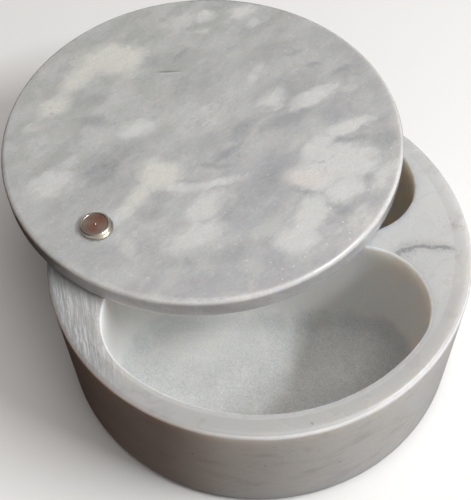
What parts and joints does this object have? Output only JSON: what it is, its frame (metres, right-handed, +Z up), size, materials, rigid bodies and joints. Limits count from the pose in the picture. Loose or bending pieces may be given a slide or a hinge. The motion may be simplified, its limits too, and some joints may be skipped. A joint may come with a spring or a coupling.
{
  "type": "salt cellar",
  "caption": "Round marble salt cellar with half-moon compartments either side of a divider and a flat marble lid that swivels on a steel pivot.",
  "frame": {"origin": "on the axis of the round body, at the underside of the base felt that it stands on", "axes": "+Z up along the body's axis; +X along the divider, away from the pivot; the front compartment lies towards -Y and the lid is swung open towards +Y"},
  "size_m": [0.1307, 0.1484, 0.0521],
  "materials": {
    "body_marble": "honed white marble with fine grey veins",
    "lid_marble": "polished pale grey marble with cloudy cream patches",
    "turned_steel": "face turned in fine rings",
    "washer_steel": "plain",
    "stud_steel": "zinc plated",
    "nylon": "natural nylon",
    "brass": "turned",
    "felt": "grey wool felt"
  },
  "bodies": {
    "base": {"cellar_body": "body_marble", "pivot_cap": "turned_steel", "cap_washer": "washer_steel", "spacer_washer": "nylon", "pivot_stud": "stud_steel", "stud_anchor": "brass", "base_felt": "felt"},
    "lid": {"swivel_lid": "lid_marble", "lid_bushing": "nylon"}
  },
  "joints": [
    {"name": "lid_swivel", "type": "hinge", "parent": "base", "child": "lid", "pos_m": [-0.04325, 0, 0.0472], "axis": [0, 0, 1], "continuous": true}
  ]
}
